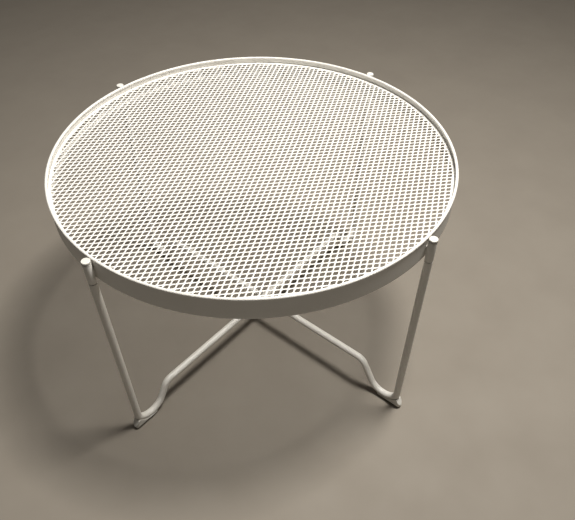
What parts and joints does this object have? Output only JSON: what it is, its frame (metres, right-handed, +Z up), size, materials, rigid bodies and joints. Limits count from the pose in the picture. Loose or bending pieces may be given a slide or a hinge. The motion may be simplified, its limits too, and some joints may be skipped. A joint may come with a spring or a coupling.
{
  "type": "folding side table",
  "caption": "Round tray table: a rimmed expanded-metal tray with leg sleeves, plugged onto crossing bent-tube leg frames that turn on a central bolt.",
  "frame": {"origin": "on the floor under the middle of the tray, where the pivot bolt's axis meets the plane of the feet", "axes": "+Z up; the lower leg frame lies along X and the upper leg frame along Y"},
  "size_m": [0.774, 0.774, 0.465],
  "materials": {
    "coated_steel": "satin powder coat",
    "coated_mesh": "satin powder coat on expanded metal",
    "coated_tube": "satin powder coat",
    "moulded_plastic": "fine moulded grain",
    "plated_steel": "zinc plated",
    "bare_steel": "turned steel"
  },
  "bodies": {
    "lower_legs": {"lower_frame": "coated_tube", "leg_pin_east": "bare_steel", "leg_pin_west": "bare_steel", "foot_east": "moulded_plastic", "foot_west": "moulded_plastic", "pivot_bolt": "plated_steel", "pivot_spacer": "moulded_plastic", "pivot_washer_bottom": "moulded_plastic", "pivot_nut": "plated_steel"},
    "upper_legs": {"upper_frame": "coated_tube", "leg_pin_north": "bare_steel", "leg_pin_south": "bare_steel", "foot_north": "moulded_plastic", "foot_south": "moulded_plastic", "pivot_washer_top": "moulded_plastic"},
    "tray": {"rim_band": "coated_steel", "mesh_ledge": "coated_steel", "tray_mesh": "coated_mesh", "sleeve_east": "coated_steel", "sleeve_north": "coated_steel", "sleeve_west": "coated_steel", "sleeve_south": "coated_steel", "bracket_east": "coated_steel", "bracket_north": "coated_steel", "bracket_west": "coated_steel", "bracket_south": "coated_steel", "cap_east": "moulded_plastic", "cap_north": "moulded_plastic", "cap_west": "moulded_plastic", "cap_south": "moulded_plastic"}
  },
  "joints": [
    {"name": "frame_fold", "type": "hinge", "parent": "lower_legs", "child": "upper_legs", "pos_m": [0, 0, 0.071], "axis": [0, 0, 1], "range_deg": [-86, 86]},
    {"name": "tray_lift", "type": "slide", "parent": "lower_legs", "child": "tray", "axis": [0, 0, 1], "range_m": [0, 0.1]}
  ]
}
